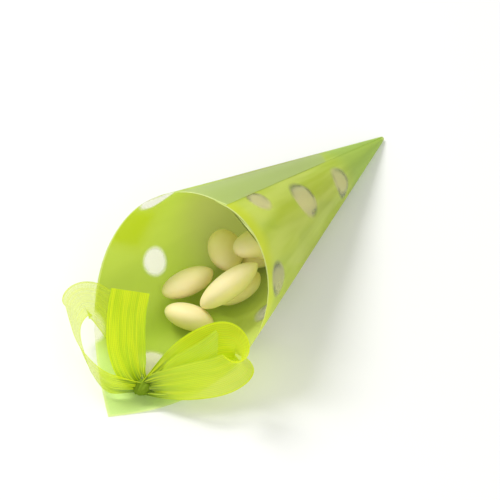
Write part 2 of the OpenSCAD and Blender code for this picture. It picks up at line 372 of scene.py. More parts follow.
def rolling_tree():
    """Geometry nodes that roll a flat sheet into the cone and lift its left half over the right one."""
    numbers = ("Half angle", "Strip angle", "Closed at", "Lift", "Ripple", "Tip place", "Tip height")
    tree, given = new_shape_tree("roll_sheet", numbers, takes_mesh=True)
    add = partial(add_node, tree)
    strip_angle, closed_at = given["Strip angle"], given["Closed at"]
    place = add("GeometryNodeInputPosition")
    flat = add("ShaderNodeSeparateXYZ", place, give=None)
    radius = add(VECTORS, place, give="Value", operation="LENGTH")
    down = add(MATHS, flat["Y"], -1.0, operation="MULTIPLY")
    phi = add(MATHS, flat["X"], down, operation="ARCTAN2")

    # Past the middle of the top, a half follows the other half's side of the cone
    unwrapped = add(MATHS, phi, operation="ABSOLUTE")
    is_past = add(MATHS, unwrapped, closed_at, operation="GREATER_THAN")
    around = add(MATHS, closed_at, 2.0, operation="MULTIPLY")
    beyond = add(MATHS, is_past, around, operation="MULTIPLY")
    size = add(MATHS, add(MATHS, beyond, unwrapped, operation="SUBTRACT"), operation="ABSOLUTE")
    this_side = add(MATHS, is_past, -2.0, 1.0, operation="MULTIPLY_ADD")
    side = add(MATHS, add(MATHS, phi, operation="SIGN"), this_side, operation="MULTIPLY")

    # The sheet turns about the cone's axis once the flat strip ends, and closes at the top
    sin_half = add(MATHS, given["Half angle"], operation="SINE")
    cos_half = add(MATHS, given["Half angle"], operation="COSINE")
    half_turn = add(MATHS, sin_half, math.pi, operation="MULTIPLY")
    beyond_strip = add(MATHS, add(MATHS, size, strip_angle, operation="SUBTRACT"), 0.0, operation="MAXIMUM")
    on_cone = add(MATHS, beyond_strip, half_turn, operation="MINIMUM")
    turned = add(MATHS, on_cone, sin_half, operation="DIVIDE")
    beyond_top = add(MATHS, beyond_strip, half_turn, operation="SUBTRACT")
    past_top = add(MATHS, beyond_top, 0.0, operation="MAXIMUM")
    yaw = add(MATHS, size, strip_angle, operation="MINIMUM")
    sin_turn = add(MATHS, turned, operation="SINE")
    cos_turn = add(MATHS, turned, operation="COSINE")
    slope = add(MATHS, sin_half, cos_half, operation="MULTIPLY")
    rise = add(MATHS, slope, add(MATHS, 1.0, cos_turn, operation="SUBTRACT"), operation="MULTIPLY")
    sin_square = add(MATHS, sin_half, sin_half, operation="MULTIPLY")
    cos_square = add(MATHS, cos_half, cos_half, operation="MULTIPLY")

    # Directions along the sheet from the tip and outwards from it, turned by the flat strip's share
    along_cone = add(MATHS, sin_square, cos_turn, cos_square, operation="MULTIPLY_ADD")
    along_line = add(
        VECTOR_OF, add(MATHS, sin_half, sin_turn, operation="MULTIPLY"),
        add(MATHS, along_cone, -1.0, operation="MULTIPLY"), rise)
    inwards = add(MATHS, cos_square, cos_turn, sin_square, operation="MULTIPLY_ADD")
    away_from_film = add(
        VECTOR_OF, add(MATHS, cos_half, sin_turn, operation="MULTIPLY"), rise,
        add(MATHS, inwards, -1.0, operation="MULTIPLY"))
    along_line, outward = (
        add("ShaderNodeVectorRotate", ("Vector", way), ("Angle", yaw), rotation_type="Z_AXIS")
        for way in (along_line, away_from_film))
    top_way = add(
        VECTOR_OF, add(MATHS, strip_angle, operation="COSINE"),
        add(MATHS, strip_angle, operation="SINE"))
    cos_past, sin_past = (add(MATHS, past_top, operation=part) for part in ("COSINE", "SINE"))
    generator = add(
        VECTORS, add(VECTORS, along_line, ("Scale", cos_past), operation="SCALE"),
        add(VECTORS, top_way, ("Scale", sin_past), operation="SCALE"), operation="SUBTRACT")

    # The outer layer rises softly onto the inner one where their overlap starts
    overlap_from = add(MATHS, around, CORNER_ANGLE, operation="SUBTRACT")
    leftwards = add(MATHS, phi, -1.0, operation="MULTIPLY")
    left_reach = add(MATHS, leftwards, overlap_from, operation="SUBTRACT")
    ramp = soft_share(tree, (left_reach, -LIFT_RAMP, 0.0))
    lift = add(MATHS, ramp, given["Lift"], operation="MULTIPLY")

    # Ripples run along the cone, grow with the distance from the tip and leave the resting side flat
    ripples_around, ripples_along, ripple_growth = 5.0, 16.0, 8.0
    turn = add(MATHS, size, side, operation="MULTIPLY")
    stretched = add(
        VECTOR_OF, add(MATHS, turn, ripples_around, operation="MULTIPLY"),
        add(MATHS, radius, ripples_along, operation="MULTIPLY"))
    waves = add(NOISE, ("Vector", stretched), ("Scale", 1.0), ("Detail", 1.0), noise_dimensions="2D")
    away = soft_share(tree, (size, math.radians(9), math.radians(20)))
    grown = add(MATHS, radius, ripple_growth, operation="MULTIPLY", use_clamp=True)
    grown = add(MATHS, away, grown, operation="MULTIPLY")
    ripple = add(
        MATHS, add(MATHS, waves, grown, operation="MULTIPLY"), given["Ripple"], operation="MULTIPLY")

    stand_off = add(MATHS, lift, ripple, operation="ADD")
    rolled = add(
        VECTORS, add(VECTORS, generator, ("Scale", radius), operation="SCALE"),
        add(VECTORS, outward, ("Scale", stand_off), operation="SCALE"), operation="ADD")
    parts = add("ShaderNodeSeparateXYZ", rolled, give=None)
    placed = add(
        VECTOR_OF, add(MATHS, parts["X"], side, operation="MULTIPLY"),
        add(MATHS, parts["Y"], given["Tip place"], operation="ADD"),
        add(MATHS, parts["Z"], given["Tip height"], operation="ADD"))
    moved = add("GeometryNodeSetPosition", ("Geometry", given["Geometry"]), ("Position", placed))
    finish_shape_tree(tree, moved, given["Material"])
    return tree


def film_places(tree, film, from_dot):
    """Where the film's look changes, as a share from 0 to 1 for each place, and what it is measured by."""
    add = partial(add_node, tree)
    uv = add("ShaderNodeUVMap", uv_map="sheet")
    parts = add("ShaderNodeSeparateXYZ", uv, give=None)
    side = film.sheet_side / MM
    x = add(MATHS, parts["X"], side, operation="MULTIPLY")
    y = add(MATHS, parts["Y"], side, operation="MULTIPLY")
    squares = [add(MATHS, length, length, operation="MULTIPLY") for length in (x, y)]
    reach = add(MATHS, add(MATHS, *squares, operation="ADD"), operation="SQRT")
    reach_across = add(MATHS, reach, x, operation="ADD")
    turn = add(MATHS, x, y, operation="ARCTAN2")
    leaning = [(turn, math.radians(58), math.radians(40)), (turn, math.radians(9), math.radians(13))]
    # x and y along the sheet's sides, the reach from its tip and from_dot are in millimetres here
    steps = {
        # The print ends softly at a dot, inside which from_dot is below 0
        "printed": [(from_dot, -1.7, 0.7)],
        # The film is painted a deeper green towards the tip: partly for its layers that lie close together
        # there, partly painted shade beyond the top's highlight
        "tip": [(reach, 52.0, 38.0)],
        # It is paler along the top: partly where it lies doubled, partly a painted highlight on that strip
        "double_and_highlight": [(turn, math.radians(13), math.radians(11)), (reach_across, 54.0, 58.0)],
        # The corner of the inner layer shows as a deep yellow patch with a slanted end: partly the doubled
        # film's deeper lime, partly a painted glow of light coming through it from behind
        "patch": [(y, 105.0, 118.0), (x, 39.0, 51.0), (x, 66.0, 59.0)],
        # The half that leans over the mouth is seen from inside, where the lime is painted deepest: painted
        # shade of the cone's dim inside
        "inside": leaning,
        # Far in, the light is duller and so is the lime
        "far_in": leaning + [(reach, 120.0, 94.0)],
        # Light that comes in at the mouth makes the right wall yellower there
        "right_mouth": [(x, side - 10, side - 2), (reach, 150.0, 142.0)],
        # The flap lies on the white floor and is painted paler: painted light that the floor sends back up
        # through it
        "flap": [(reach, 156.0, 166.0)],
        # The cut edge at the mouth catches the light
        "cut_edge": [(add(MATHS, x, y, operation="MAXIMUM"), side - 1.1, side - 0.6)],
        # The right half lies close over the sweets
        "over_sweets": [(turn, 0.8, 0.95)],
    }
    places = {name: soft_share(tree, *soft_steps) for name, soft_steps in steps.items()}
    return places, uv, reach, turn


def film_material(film):
    """Frosted cast polypropylene, printed lime. The print scatters light and lets some of it through."""
    material, tree = new_material("frosted_lime_polypropylene")
    add = partial(add_node, tree)
    from_dot = add("ShaderNodeAttribute", give="Fac", attribute_name="from_dot")
    places, uv, reach, turn = film_places(tree, film, from_dot)

    # The frosting is finer than it can show here: its grain is drawn at about half a millimetre
    frost = add(NOISE, ("Vector", uv), ("Scale", 260.0), ("Detail", 2.0))
    bump = add("ShaderNodeBump", ("Strength", 0.05), ("Distance", 0.0002), ("Height", frost))
    # Rolling leaves soft streaks that run out from the tip
    streaks_around, streaks_along = 14.0, 0.02
    rays = add(
        VECTOR_OF, add(MATHS, turn, streaks_around, operation="MULTIPLY"),
        add(MATHS, reach, streaks_along, operation="MULTIPLY"))
    streaks = soft_share(tree, (add(NOISE, ("Vector", rays), ("Scale", 1.0), ("Detail", 2.0)), 0.3, 0.7))

    # The print's colour where light falls on it, then where light comes through it
    outer_lime = layered(tree, "#c6da3c", (streaks, "#e9f67a"))
    # Inside, the lime is darker: painted shade
    shaded_inner_lime = layered(tree, "#aeca26", (streaks, "#c0d83c"))
    # Several places below are painted light or shade: shade inside, far in and partly at the tip; a
    # highlight on the doubled top and the cut edge; light on the flap, the mouth's right wall and partly
    # the patch
    lit = {
        "inside": shaded_inner_lime, "far_in": "#a9b848", "tip": "#bfd860", "double_and_highlight": "#bccb7c",
        "flap": "#def8a2", "right_mouth": "#dcea34", "patch": "#bccf00", "cut_edge": "#f2fbb4",
    }
    shining = {
        "inside": "#c8e032", "far_in": "#c2ca5c", "patch": "#c6de00", "flap": "#e4ffa4",
        "right_mouth": "#f0fb3c", "tip": "#cfe878",
    }
    lime, glow = (
        layered(tree, ground, *((places[name], colour) for name, colour in layers.items()))
        for ground, layers in ((outer_lime, lit), ("#d8ec5c", shining)))
    front = add(PRINCIPLED, ("Base Color", lime), ("Roughness", 0.38), ("IOR", 1.49), ("Normal", bump))
    back = add("ShaderNodeBsdfTranslucent", ("Color", glow))
    body = add(SHADER_MIX, 0.38, front, back)
    # Some light passes straight through, and less where the film is doubled along the top, at the patch,
    # and on the inside that is painted in shade
    through = add("ShaderNodeBsdfTransparent", ("Color", linear("#eef7a8")))
    denser = add(MATHS, places["double_and_highlight"], places["patch"], operation="MAXIMUM")
    deep_inside = add(MATHS, places["inside"], 0.6, operation="MULTIPLY")
    denser = add(MATHS, denser, deep_inside, operation="MAXIMUM")
    seen_through = add(MATHS, denser, -0.2, 0.22, operation="MULTIPLY_ADD")
    lime_film = add(SHADER_MIX, seen_through, body, through)

    window = film_window(tree, uv, bump, from_dot, places["over_sweets"])
    surface = add(SHADER_MIX, places["printed"], window, lime_film)
    add("ShaderNodeOutputMaterial", ("Surface", surface), give=None)
    return material


def film_window(tree, uv, bump, from_dot, over_sweets):
    """The unprinted film of a dot, clear with a little milky film. Over the pale sweets it is painted more
    milky and cream, painted light that stands for the lit sweet behind; elsewhere it is clear.
    """
    add = partial(add_node, tree)
    clear = add("ShaderNodeBsdfTransparent", ("Color", linear("#fbfbf6")))
    # Towards the edge of a window over the sweets a dark ring is painted into the cream: painted shade of
    # the gap where the film stands off from the sweet behind it
    patchy = add(NOISE, ("Vector", uv), ("Scale", 14.0), ("Detail", 1.0))
    near_edge = soft_share(tree, (from_dot, -4.2, -1.2), (patchy, 0.36, 0.6))
    painted_gap_shade = add(MATHS, over_sweets, near_edge, operation="MULTIPLY")
    window_cream_and_painted_light = add(
        PRINCIPLED, ("Base Color", layered(tree, "#fff2c8", (painted_gap_shade, "#7d8454"))),
        ("Roughness", 0.25), ("IOR", 1.49), ("Normal", bump))
    # Over the sweets the cream is thicker, painted light of the lit sweet behind, and thicker still in the
    # painted shade by the edge
    painted_cream_over_sweets = add(MATHS, painted_gap_shade, 0.3, 0.14, operation="MULTIPLY_ADD")
    painted_cream_over_sweets = add(MATHS, over_sweets, painted_cream_over_sweets, operation="MULTIPLY")
    clearness = add(MATHS, 0.8, painted_cream_over_sweets, operation="SUBTRACT")
    return add(SHADER_MIX, clearness, window_cream_and_painted_light, clear)


def inner_face_material():
    """The smooth inner face of the same film. It is clear: the outer face's print gives the colour."""
    material, tree = new_material("clear_film_inner_face")
    clear = add_node(
        tree, PRINCIPLED, ("Base Color", linear("#e9f3b4")), ("Roughness", 0.3), ("IOR", 1.49),
        ("Alpha", 0.06))
    add_node(tree, "ShaderNodeOutputMaterial", ("Surface", clear), give=None)
    return material


class CONEBAG_OT_film(bpy.types.Operator):
    """Build the film cone by rolling its flat printed sheet"""

    bl_idname = "conebag.film"
    bl_label = "Film Cone"

    def execute(self, context):
        film = context.scene.cone_film
        cone = new_object("film_cone_sheet", flat_sheet_mesh(film))
        lime = film_material(film)
        for material in (lime, inner_face_material()):
            cone.data.materials.append(material)
        roll = cone.modifiers.new("roll", "NODES")
        roll.node_group = rolling_tree()
        set_inputs(
            roll, half_angle=film.half_angle, strip_angle=film.strip_angle,
            closed_at=2 * film.strip_angle + math.pi * math.sin(film.half_angle),
            lift=film.thickness + film.layer_gap, ripple=film.ripple, tip_place=film.tip_y,
            tip_height=film.thickness, material=lime)
        wall = cone.modifiers.new("thickness", "SOLIDIFY")
        wall.thickness = film.thickness
        wall.offset = 1
        # The faces that this adds take the next material, the clear one
        wall.material_offset = 1
        wall.material_offset_rim = 1
        as_plain_mesh(cone)
        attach(cone, "root")
        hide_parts("film_cone")
        return {"FINISHED"}


# Ribbon

# Each run's points in millimetres from the middle of the knot, a width direction and a share of the width
KNOT_FROM_HOLE = Vector((4, -6, 0))
KNOT_HEIGHT = 4.5
GATHERED = 0.35
RIGHT_LOOP = [
    ((0, 0, 0), (0, 0.2, 1), GATHERED), ((8, 0.5, 5), (-0.2, 0.3, 1), 0.75),
    ((18, 5, 9), (-0.35, 0.5, 0.8), 0.95), ((26, 10.5, 12), (-0.3, 0.4, 0.85), 1),
    ((30, 15, 16.5), (-0.1, 0.2, 1), 1), ((26.5, 18, 21), (-0.1, 0.2, 1), 1),
    ((19, 18, 18), (-0.3, 0.45, 0.9), 1), ((11, 13, 11.5), (-0.35, 0.5, 0.8), 0.95),
    ((5, 6, 4.5), (-0.2, 0.4, 1), 0.7), ((0, 0, 0), (0, 0.2, 1), GATHERED),
]
LEFT_LOOP = [
    ((0, 0, 0), (0, 0, 1), GATHERED), ((-9, -7, 2.5), (-0.2, -0.1, 1), 0.75),
    ((-19.5, -5.5, 5.5), (-0.2, -0.2, 1), 1), ((-28.5, 1, 7.5), (-0.3, -0.1, 0.9), 1),
    ((-35, 8, 9.5), (-0.4, 0, 0.9), 1), ((-34.5, 12.5, 12.5), (-0.3, 0.3, 0.9), 1),
    ((-28.5, 14.5, 12.5), (-0.2, 0.4, 0.9), 1), ((-20, 12, 7.5), (-0.2, 0.4, 0.9), 1),
    ((-10, 6, 2.5), (0, 0.3, 1), 0.7), ((0, 0, 0), (0, 0, 1), GATHERED),
]
LEFT_TAIL = [
    ((0, 0, 0), (0.6, 0.4, 0.2), GATHERED), ((-5.5, 1, 4), (0.75, 0.5, 0.1), 0.8),
    ((-12, 7, 9), (0.8, 0.55, 0.05), 1), ((-17, 14.5, 14), (0.82, 0.57, 0), 1),
    ((-20, 21, 18.5), (0.82, 0.57, 0), 1),
]
RIGHT_TAIL = [
    ((0, 0, 0), (-0.3, 0.5, 0.3), GATHERED), ((6, 2.5, 3.5), (-0.4, 0.6, 0.4), 0.7),
    ((12, 7.5, 7.5), (-0.4, 0.5, 0.7), 1), ((18, 13.5, 12.5), (-0.4, 0.4, 0.8), 1),
    ((22, 19, 17), (-0.3, 0.4, 0.8), 1),
]
RUN_STEPS = 14
PANELS = 16
GATHERS = 5
GATHER_DEPTH = 0.9
# How much deeper the folds are than the gathers' depth, and how high the open ribbon waves
FOLD_DEEPENING = 1.6
WAVE_HEIGHT = 0.35
# How far to each side along a run its direction is measured, counted in its points
TRAVEL_STEP = 0.02
# How much of each run is creased double, and so looks deeper. Below 0 it is sheerer than usual
RUNS = ((LEFT_TAIL, 0.75), (LEFT_LOOP, -0.25), (RIGHT_LOOP, 0.6), (RIGHT_TAIL, 0.6))


def along(values, s):
    """A smooth curve through the values: s counts them from 0."""
    i = min(int(s), len(values) - 2)
    t = s - i
    a, b, c, d = (np.array(values[min(max(i + k, 0), len(values) - 1)], float) for k in (-1, 0, 1, 2))
    square, cube = 2 * a - 5 * b + 4 * c - d, 3 * b - a - 3 * c + d
    return 0.5 * (2 * b + (c - a) * t + square * t**2 + cube * t**3)


def add_run(bm, uv_layer, run, knot, width, start, doubled):
    """One run of the ribbon as a strip of quads. Gathers fade as it opens to its full width."""
    tight, pleated = bm.verts.layers.float["tight"], bm.verts.layers.float["pleated"]
    places, ups = [p for p, _, _ in run], [u for _, u, _ in run]
    shares = [(s,) for _, _, s in run]
    last = len(run) - 1
    rows, length, before = [], start, None
    for k in range(last * RUN_STEPS + 1):
        s = k / RUN_STEPS
        place = along(places, s)
        travel = along(places, min(s + TRAVEL_STEP, last)) - along(places, max(s - TRAVEL_STEP, 0))
        travel = Vector(travel).normalized()
        up = Vector(along(ups, s))
        across = (up - up.dot(travel) * travel).normalized()
        facing = travel.cross(across)
        share = min(float(along(shares, s)[0]), 1.0)
        loose = max(1 - share, 0)
        length += 0 if before is None else float(np.linalg.norm(place - before)) * MM
        before = place
        row = []
        for j in range(PANELS + 1):
            t = j / PANELS
            fold = math.cos(math.tau * GATHERS * t * 0.5) * GATHER_DEPTH * loose * FOLD_DEEPENING
            wave = WAVE_HEIGHT * math.sin(s * 2.1 + t * 5.0) * (t - 0.5) * share
            point = Vector(place) + across * ((t - 0.5) * width / MM * share) + facing * (fold + wave)
            vert = bm.verts.new(knot + point * MM)
            vert[pleated] = loose / (1 - GATHERED)
            vert[tight] = vert[pleated] + doubled * (1 - vert[pleated])
            row.append((vert, (length, t)))
        rows.append(row)
    for low, high in zip(rows, rows[1:]):
        for (a, b), (c, d) in zip(zip(low, low[1:]), zip(high, high[1:])):
            face = bm.faces.new([a[0], b[0], d[0], c[0]])
            for loop, uv in zip(face.loops, (a[1], b[1], d[1], c[1])):
                loop[uv_layer].uv = uv
    return length


def skin_rings(bm, uv_layer, rings, place_on_cloth):
    """Faces between rings of vertices, with both ends closed, and their place on the cloth."""
    sides, last = len(rings[0]), len(rings) - 1
    for i, (low, high) in enumerate(zip(rings, rings[1:])):
        for j in range(sides):
            k = (j + 1) % sides
            face = bm.faces.new([low[j], low[k], high[k], high[j]])
            for loop, (u, v) in zip(face.loops, ((j, i), (j + 1, i), (j + 1, i + 1), (j, i + 1))):
                loop[uv_layer].uv = place_on_cloth(u / sides, v / last)
    for cap in (rings[0][::-1], rings[-1]):
        face = bm.faces.new(cap)
        for loop in face.loops:
            loop[uv_layer].uv = (0.0, 0.5)


def add_knot(bm, uv_layer, knot, ribbon):
    """The gathered wrap of the knot: a short tube of lengthwise pleats round where the runs meet."""
    steps, sides, cloth_round = 30, 40, 0.025
    half_length, flatness, lean, pleat_depth = ribbon.knot_diameter * 0.42, 0.85, 0.0005, 0.05
    rings = []
    for i in range(steps + 1):
        t = i / steps
        x = (t - 0.5) * 2 * half_length
        bulge = math.sin(math.pi * (0.06 + 0.88 * t)) ** 0.5
        ring = []
        for j in range(sides):
            a = math.tau * j / sides
            wavy = math.cos(t * math.tau * 3.5 + 1.6 * math.sin(a))
            pleat = 1 + pleat_depth * wavy + pleat_depth * math.sin(3 * a + 9 * t)
            r = ribbon.knot_diameter / 2 * bulge * pleat
            point = Vector((x + lean * math.sin(a), r * math.cos(a), r * flatness * math.sin(a)))
            ring.append(bm.verts.new(knot + point))
        rings.append(ring)
    skin_rings(bm, uv_layer, rings, lambda u, v: (u * cloth_round, v))


def add_neck(bm, uv_layer, knot, film):
    """The gathered ribbon that goes down through the hole in the film."""
    steps, sides, cloth_length = 10, 32, 0.006
    share_of_hole, pleats, pleat_depth, straight_share = 0.42, 7, 0.1, 0.15
    top, bottom = knot + Vector((-0.002, 0, 0)), Vector((0, hole_y(film), 0))
    rings = []
    for i in range(steps + 1):
        t = i / steps
        middle = bottom.lerp(top, eased((t - straight_share) / (1 - straight_share)))
        middle.z = bottom.z + (top.z - bottom.z) * t
        ring = []
        for j in range(sides):
            a = math.tau * j / sides
            r = film.hole_diameter * share_of_hole * (1 + pleat_depth * math.cos(pleats * a))
            ring.append(bm.verts.new(middle + Vector((r * math.cos(a), r * math.sin(a), 0))))
        rings.append(ring)
    skin_rings(bm, uv_layer, rings, lambda u, v: (v * cloth_length, u))


def ribbon_material(ribbon):
    """Nylon organza: a sheer weave of fine stiff threads with a denser edge. Doubled, it looks deeper."""
    material, tree = new_material("lime_nylon_organza")
    add = partial(add_node, tree)
    uv = add("ShaderNodeUVMap", uv_map="ribbon")
    parts = add("ShaderNodeSeparateXYZ", uv, give=None)

    # Real threads are 0.1 mm apart: they are drawn 0.62 mm apart, so that they show
    thread_spacing = 0.62 * MM
    across = add(MATHS, parts["Y"], math.tau * ribbon.width / thread_spacing, operation="MULTIPLY")
    lengthwise = add(MATHS, parts["X"], math.tau / thread_spacing, operation="MULTIPLY")
    across, lengthwise = (
        add(MATHS, add(MATHS, threads, operation="SINE"), height, operation="MULTIPLY")
        for threads, height in ((across, 0.35), (lengthwise, 0.15)))
    weave = add(MATHS, across, lengthwise, operation="ADD")
    bump = add("ShaderNodeBump", ("Strength", 0.12), ("Distance", 0.0002), ("Height", weave))
    stretched = add("ShaderNodeMapping", ("Vector", uv), ("Scale", [40.0, 16.0, 1.0]))
    streaks = add(NOISE, ("Vector", stretched), ("Scale", 1.0), ("Detail", 2.0))
    from_middle = add(MATHS, add(MATHS, parts["Y"], 0.5, operation="SUBTRACT"), operation="ABSOLUTE")
    from_edge = add(MATHS, 0.5, from_middle, operation="SUBTRACT")
    selvedge = soft_share(tree, (from_edge, 0.05, 0.03))
    # Where the ribbon is creased double or gathered, more threads lie over each other and the lime deepens
    tight = add("ShaderNodeAttribute", give="Fac", attribute_name="tight")
    # The share of open holes in the weave, less what the threads, streaks and edge take
    open_part = add(MATHS, weave, 0.2, 0.77, operation="MULTIPLY_ADD")
    open_part = add(MATHS, streaks, -0.5, open_part, operation="MULTIPLY_ADD")
    open_part = add(MATHS, selvedge, -0.25, open_part, operation="MULTIPLY_ADD")
    open_part = add(MATHS, tight, -0.5, open_part, operation="MULTIPLY_ADD", use_clamp=True)

    streaky = add(MATHS, soft_share(tree, (streaks, 0.36, 0.62)), 0.25, operation="ADD")
    deep = add(MATHS, tight, streaky, operation="MULTIPLY", use_clamp=True)
    # The pleats that run into the knot lie in their own shade
    pleated = add("ShaderNodeAttribute", give="Fac", attribute_name="pleated")
    at_knot = soft_share(tree, (pleated, 0.15, 0.8), (streaks, 0.42, 0.58))
    colour = layered(tree, "#f2fc12", (selvedge, "#e0f014"), (deep, "#aace00"), (at_knot, "#6b8c06"))
    glow = layered(tree, "#f6fd14", (at_knot, "#a2bc10"))
    threads = add(
        PRINCIPLED, ("Base Color", colour), ("Roughness", 0.42), ("IOR", 1.53),
        ("Sheen Weight", 0.15), ("Sheen Roughness", 0.4), ("Normal", bump))
    back = add("ShaderNodeBsdfTranslucent", ("Color", glow))
    cloth = add(SHADER_MIX, 0.45, threads, back)
    through = add("ShaderNodeBsdfTransparent", ("Color", linear("#f0f8c8")))
    surface = add(SHADER_MIX, open_part, cloth, through)
    add("ShaderNodeOutputMaterial", ("Surface", surface), give=None)
    return material


def clear_face_material():
    """The far face of the same ribbon. It is clear, as the near face gives the cloth all its colour."""
    material, tree = new_material("clear_organza_face")
    clear = add_node(
        tree, PRINCIPLED, ("Base Color", linear("#f4fbb8")), ("Roughness", 0.5), ("Alpha", 0.05))
    add_node(tree, "ShaderNodeOutputMaterial", ("Surface", clear), give=None)
    return material


def knot_material():
    """The same organza wound tight: many layers let no light through, so it is dull. Its dark colour is
    also painted shade of the knot's own tight folds.
    """
    material, tree = new_material("tight_wound_organza")
    place = add_node(tree, "ShaderNodeUVMap", uv_map="ribbon")
    folds = add_node(tree, NOISE, ("Vector", place), ("Scale", 240.0), ("Detail", 2.0))
    cloth = add_node(
        tree, PRINCIPLED, ("Base Color", layered(tree, "#4a6602", (folds, "#8aa80a"))),
        ("Roughness", 0.8), ("IOR", 1.53), ("Specular IOR Level", 0.25))
    add_node(tree, "ShaderNodeOutputMaterial", ("Surface", cloth), give=None)
    return material


class CONEBAG_OT_ribbon(bpy.types.Operator):
    """Build the organza bow from its loops, tails and knot"""

    bl_idname = "conebag.ribbon"
    bl_label = "Ribbon Bow"

    def execute(self, context):
        film, ribbon = context.scene.cone_film, context.scene.cone_ribbon
        knot = Vector((0, hole_y(film), KNOT_HEIGHT * MM)) + KNOT_FROM_HOLE * MM
        bm = bmesh.new()
        uv_layer = bm.loops.layers.uv.new("ribbon")
        for name in ("tight", "pleated"):
            bm.verts.layers.float.new(name)
        length = 0.0
        for run, doubled in RUNS:
            length = add_run(bm, uv_layer, run, knot, ribbon.width, length, doubled)
        bow = new_object("ribbon_runs", mesh_from(bm, "ribbon_runs"))
        for material in (ribbon_material(ribbon), clear_face_material()):
            bow.data.materials.append(material)
        cloth = bow.modifiers.new("thickness", "SOLIDIFY")
        cloth.thickness = ribbon.thickness
        cloth.offset = 0
        cloth.material_offset = 1
        as_plain_mesh(bow)
        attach(bow, "root")

        bm = bmesh.new()
        uv_layer = bm.loops.layers.uv.new("ribbon")
        add_knot(bm, uv_layer, knot, ribbon)
        add_neck(bm, uv_layer, knot, film)
        bmesh.ops.recalc_face_normals(bm, faces=bm.faces)
        tied = new_object("ribbon_knot", mesh_from(bm, "ribbon_knot"))
        tied.data.materials.append(knot_material())
        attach(tied, "root")
        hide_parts("ribbon_bow")
        return {"FINISHED"}


# Almonds

def almond_tree():
    """Geometry nodes that shape a ball into a sugared almond with a pointed end and an uneven coat."""
    numbers = ("Width", "Length", "Thickness", "Taper", "Lump height", "Seed")
    tree, given = new_shape_tree("sugared_almond", numbers, takes_mesh=False)
    add = partial(add_node, tree)
    ball = add("GeometryNodeMeshIcoSphere", ("Radius", 0.5), ("Subdivisions", 5), give="Mesh")
    place = add("GeometryNodeInputPosition")
    parts = add("ShaderNodeSeparateXYZ", place, give=None)
    # The pointed end: each ring of the ball towards +Y is drawn in by a power of its own radius
    height = add(MATHS, parts["Y"], 2.0, operation="MULTIPLY")
    square = add(MATHS, height, height, operation="MULTIPLY")
    square = add(MATHS, add(MATHS, 1.0, square, operation="SUBTRACT"), 0.0001, operation="MAXIMUM")
    ring = add(MATHS, square, operation="SQRT")
    forward = add(MATHS, add(MATHS, height, 0.0, operation="MAXIMUM"), 2.0, operation="MULTIPLY")
    power = add(MATHS, forward, given["Taper"], operation="MULTIPLY")
    narrow = add(MATHS, ring, power, operation="POWER")
    across, through = (
        add(MATHS, add(MATHS, parts[axis], narrow, operation="MULTIPLY"), given[size], operation="MULTIPLY")
        for axis, size in (("X", "Width"), ("Z", "Thickness")))
    lengthwise = add(MATHS, parts["Y"], given["Length"], operation="MULTIPLY")
    shaped = add(VECTOR_OF, across, lengthwise, through)
    formed = add("GeometryNodeSetPosition", ("Geometry", ball), ("Position", shaped))
    # Noise seldom rises above this, so the coat's highest places lie about on the solid's own face
    highest_noise = 0.75
    lumps = add(
        NOISE, ("Vector", place), ("W", given["Seed"]), ("Scale", 3.2), ("Detail", 2.0),
        ("Roughness", 0.45), noise_dimensions="4D")
    sunk = add(MATHS, lumps, highest_noise, operation="SUBTRACT")
    sunk = add(MATHS, sunk, given["Lump height"], operation="MULTIPLY")
    normal = add("GeometryNodeInputNormal")
    dent = add(VECTORS, normal, ("Scale", sunk), operation="SCALE")
    coated = add("GeometryNodeSetPosition", ("Geometry", formed), ("Offset", dent))
    finish_shape_tree(tree, add("GeometryNodeSetShadeSmooth", coated), given["Material"])
    return tree


def resting_place(node):
    """The middle, turn and full sizes of an almond's solid. Its +Y is the pointed end."""
    corners = np.array([v.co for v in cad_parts[node].data.vertices])
    corners = np.unique(corners.round(7), axis=0)
    spread = corners - corners.mean(axis=0)
    _, ways = np.linalg.eigh(spread.T @ spread)
    _, wide, long = ways.T
    # The pointed end is the narrower one, each end being what lies beyond this share of its reach
    end_share = 0.6
    reach = spread @ long
    front = np.ptp((spread @ wide)[reach > end_share * reach.max()])
    rear = np.ptp((spread @ wide)[reach < end_share * reach.min()])
    if front > rear:
        long = -long
    thin = np.cross(wide, long)
    turn = np.array([wide, long, thin]).T
    local = corners @ turn
    low, high = local.min(axis=0), local.max(axis=0)
    middle = turn @ ((low + high) / 2)
    return Vector(middle), Matrix(turn.tolist()), high - low


def almond_material():
    """Panned sugar: a hard matt shell of fine crystals, cream where the colour has run thin."""
    material, tree = new_material("panned_sugar_coating")
    add = partial(add_node, tree)
    place = add("ShaderNodeTexCoord", give="Object")
    grains = add(NOISE, ("Vector", place), ("Scale", 2600.0), ("Detail", 3.0))
    clouds = add(NOISE, ("Vector", place), ("Scale", 150.0), ("Detail", 3.0))
    bump = add("ShaderNodeBump", ("Strength", 0.25), ("Distance", 0.0001), ("Height", grains))
    bump = add(
        "ShaderNodeBump", ("Strength", 0.3), ("Distance", 0.0006), ("Height", clouds), ("Normal", bump))
    sugar = add(
        PRINCIPLED, ("Base Color", layered(tree, "#f2dfa2", (clouds, "#f9ebc2"))),
        ("Roughness", 0.55), ("IOR", 1.5), ("Subsurface Weight", 0.25),
        ("Subsurface Radius", [1.0, 0.8, 0.4]), ("Subsurface Scale", 0.0015), ("Normal", bump))
    add("ShaderNodeOutputMaterial", ("Surface", sugar), give=None)
    return material


